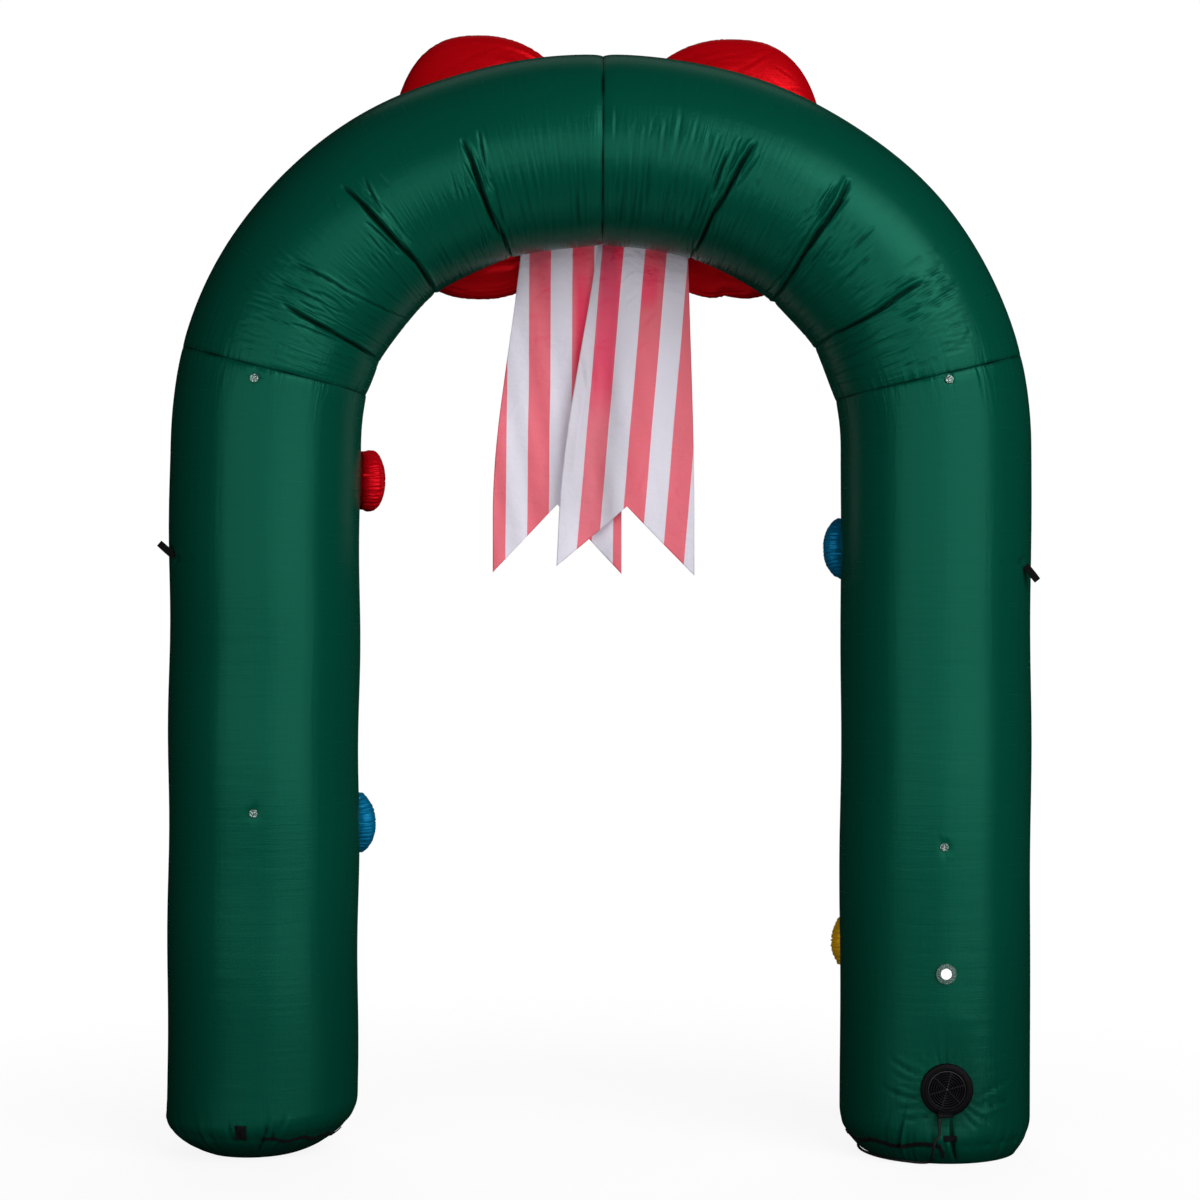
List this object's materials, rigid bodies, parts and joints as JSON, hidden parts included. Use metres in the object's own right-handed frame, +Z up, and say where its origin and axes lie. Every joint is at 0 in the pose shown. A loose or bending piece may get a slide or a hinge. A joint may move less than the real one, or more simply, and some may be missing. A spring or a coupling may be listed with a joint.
{
  "type": "inflatable arch",
  "caption": "Free-standing inflatable walk-through arch: two round legs and a rounded top, with a bow, two striped tails and round baubles.",
  "frame": {"origin": "on the ground, under the middle of the arch's bounding box", "axes": "+Z up; the archway is walked through along Y, its back with the blower faces -Y and its bow side faces +Y; +X to the right when the back is looked at"},
  "size_m": [1.8587, 0.5855, 2.4505],
  "materials": {
    "green_taffeta": "satin woven polyester, deep green",
    "red_taffeta": "satin woven polyester, red",
    "striped_taffeta": "thin woven polyester with red and white stripes",
    "blue_taffeta": "satin woven polyester, blue",
    "yellow_taffeta": "satin woven polyester, yellow",
    "black_webbing": "matte woven webbing and strap",
    "black_plastic": "satin moulded plastic",
    "clear_plastic": "clear glossy moulding",
    "black_lead": "glossy black cable sheath"
  },
  "bodies": {
    "root": {"base_knot_right": "black_webbing", "base_patch_left": "black_webbing", "base_strap_left": "black_webbing", "base_strap_right": "black_webbing", "base_tab_right": "black_webbing", "blower_clip": "black_plastic", "blower_flange": "black_plastic", "blower_grille": "black_plastic", "bow_knot": "red_taffeta", "bow_left_loop": "red_taffeta", "bow_right_loop": "red_taffeta", "button_left_low": "clear_plastic", "button_left_top": "clear_plastic", "button_right_low": "clear_plastic", "button_right_top": "clear_plastic", "lead_relief": "black_lead", "left_leg": "green_taffeta", "left_shoulder": "green_taffeta", "ornament_blue_left": "blue_taffeta", "ornament_blue_right": "blue_taffeta", "ornament_red": "red_taffeta", "ornament_yellow": "yellow_taffeta", "power_lead": "black_lead", "power_lead_coil": "black_lead", "power_plug": "black_lead", "right_leg": "green_taffeta", "right_shoulder": "green_taffeta", "tail_left": "striped_taffeta", "tail_right": "striped_taffeta", "tether_loop_left": "black_webbing", "tether_loop_right": "black_webbing", "valve_ring": "clear_plastic", "valve_window": "clear_plastic"}
  },
  "joints": []
}
